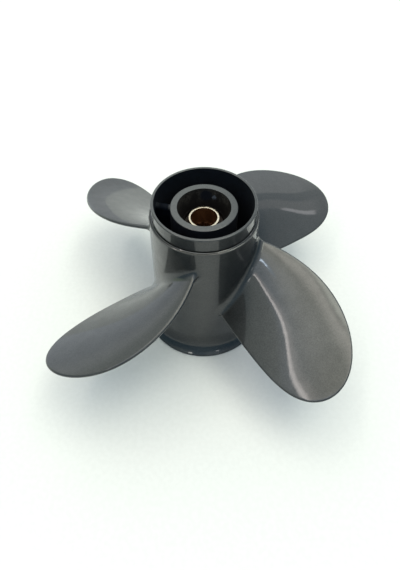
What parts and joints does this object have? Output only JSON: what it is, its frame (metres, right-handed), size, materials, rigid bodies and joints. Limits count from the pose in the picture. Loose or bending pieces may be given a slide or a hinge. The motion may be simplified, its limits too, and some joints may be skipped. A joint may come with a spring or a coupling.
{
  "type": "four-bladed outboard motor propeller with through-hub exhaust",
  "caption": "Right-hand outboard propeller: skewed blades on a round hub with an exhaust passage, a flared aft ring and a splined brass sleeve.",
  "frame": {"origin": "on the shaft axis, in the plane of the aft ring's resting face", "axes": "+Z along the shaft axis, forward to the gearcase; +X to the right and +Y away from the viewer in the picture's view"},
  "size_m": [0.254, 0.254, 0.146],
  "materials": {
    "paint": "gloss dark grey metallic",
    "rubber": "matt black",
    "brass": "machined"
  },
  "bodies": {
    "root": {"hub_shell": "paint", "diffuser_ring": "paint", "inner_hub": "paint", "rib_1": "paint", "rib_2": "paint", "rib_3": "paint", "rib_4": "paint", "blade_1": "paint", "blade_2": "paint", "blade_3": "paint", "blade_4": "paint", "rubber_bush": "rubber", "spline_sleeve": "brass"}
  },
  "joints": []
}
